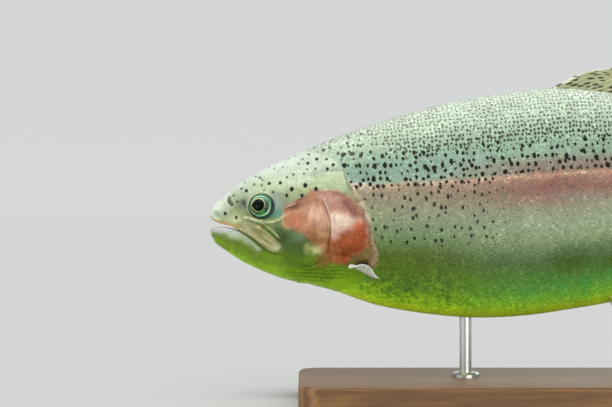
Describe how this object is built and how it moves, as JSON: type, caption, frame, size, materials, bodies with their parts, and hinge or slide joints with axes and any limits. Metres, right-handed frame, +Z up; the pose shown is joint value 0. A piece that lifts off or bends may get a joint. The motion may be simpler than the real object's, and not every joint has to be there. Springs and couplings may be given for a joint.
{
  "type": "rainbow trout",
  "caption": "Life-size still model of an adult rainbow trout, swimming with its head a little down and its tail swept to one side, held over a flat board by short rods.",
  "frame": {"origin": "middle of the underside of the display board, below the fish's middle", "axes": "+X from the snout towards the tail, +Y to the fish's right, +Z up"},
  "size_m": [0.4993, 0.1416, 0.1969],
  "materials": {
    "skin": "painted cast, silvery green with fine scales",
    "gill_skin": "painted cast, rosy and pearly",
    "fin": "painted cast, olive with dark spots",
    "eye": "polished dark eye with a green iris",
    "wood": "satin oiled board",
    "steel": "satin rod"
  },
  "bodies": {
    "root": {"head": "skin", "lower_jaw": "skin", "maxilla_left": "skin", "maxilla_right": "skin", "gill_cover_left": "gill_skin", "gill_cover_right": "gill_skin", "trunk_front": "skin", "trunk_rear": "skin", "tail_stalk": "skin", "eye_left": "eye", "eye_right": "eye", "dorsal_fin": "fin", "adipose_fin": "fin", "anal_fin": "fin", "tail_fin": "fin", "pectoral_fin_left": "fin", "pectoral_fin_right": "fin", "pelvic_fin_left": "fin", "pelvic_fin_right": "fin", "stand_board": "wood", "stand_rod_front": "steel", "stand_rod_rear": "steel"}
  },
  "joints": []
}
